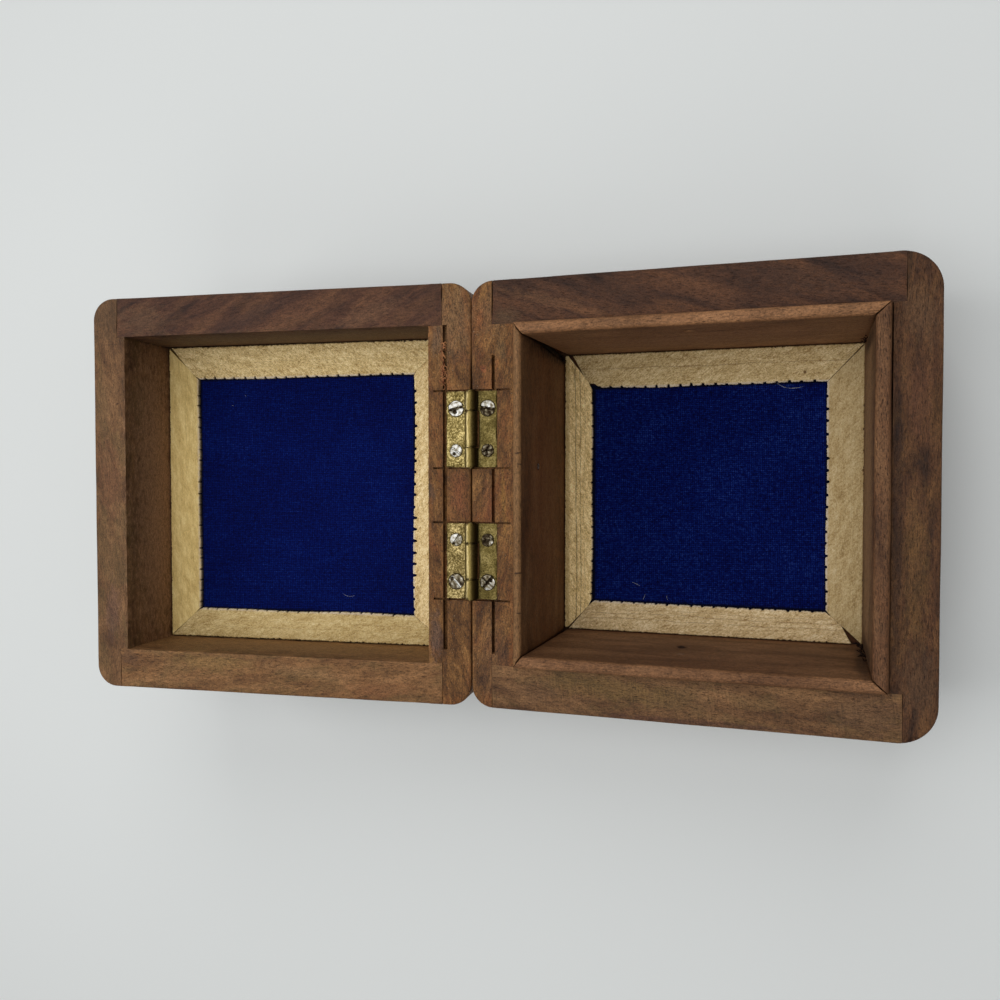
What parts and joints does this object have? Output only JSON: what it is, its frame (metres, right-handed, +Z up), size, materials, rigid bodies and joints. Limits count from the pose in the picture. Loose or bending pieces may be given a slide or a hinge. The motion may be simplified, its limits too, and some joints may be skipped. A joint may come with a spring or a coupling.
{
  "type": "trinket box",
  "caption": "Small square hardwood box with a deep lined base, a shallow lid on brass butt hinges, and blue cloth floors edged with pale mitred strips.",
  "frame": {"origin": "centre of the base's underside", "axes": "+Z up; +X from the hinges towards the front of the base; Y along the hinge line"},
  "size_m": [0.2066, 0.1016, 0.0565],
  "materials": {
    "rail_wood": "hand-sanded, thin oil",
    "board_wood": "hand-sanded, thin oil",
    "liner_wood": "sanded, unpolished",
    "pale_strip": "rough sawn, bare",
    "blue_cloth": "plain weave, slightly fuzzy",
    "brass": "dull, slightly tarnished",
    "screw_steel": "plated, scuffed",
    "brad_steel": "bright wire"
  },
  "bodies": {
    "base": {"base_back_rail": "rail_wood", "base_front_rail": "rail_wood", "base_right_rail": "rail_wood", "base_left_rail": "rail_wood", "base_bottom_board": "board_wood", "base_floor_cloth": "blue_cloth", "base_back_border": "pale_strip", "base_front_border": "pale_strip", "base_right_border": "pale_strip", "base_left_border": "pale_strip", "base_back_liner": "liner_wood", "base_front_liner": "liner_wood", "base_right_liner": "liner_wood", "base_left_liner": "liner_wood", "liner_brads": "brad_steel", "right_hinge_base_leaf": "brass", "left_hinge_base_leaf": "brass", "right_hinge_pin": "brass", "left_hinge_pin": "brass", "base_large_hinge_screws": "screw_steel", "base_small_hinge_screws": "screw_steel"},
    "lid": {"lid_back_rail": "rail_wood", "lid_front_rail": "rail_wood", "lid_right_rail": "rail_wood", "lid_left_rail": "rail_wood", "lid_top_board": "board_wood", "lid_floor_cloth": "blue_cloth", "lid_back_border": "pale_strip", "lid_front_border": "pale_strip", "lid_right_border": "pale_strip", "lid_left_border": "pale_strip", "right_hinge_lid_leaf": "brass", "left_hinge_lid_leaf": "brass", "lid_large_hinge_screws": "screw_steel", "lid_small_hinge_screws": "screw_steel"}
  },
  "joints": [
    {"name": "lid_hinge", "type": "hinge", "parent": "base", "child": "lid", "pos_m": [-0.05125, 0, 0.04515], "axis": [0, 1, 0], "range_deg": [-6.5, 173.5]}
  ]
}
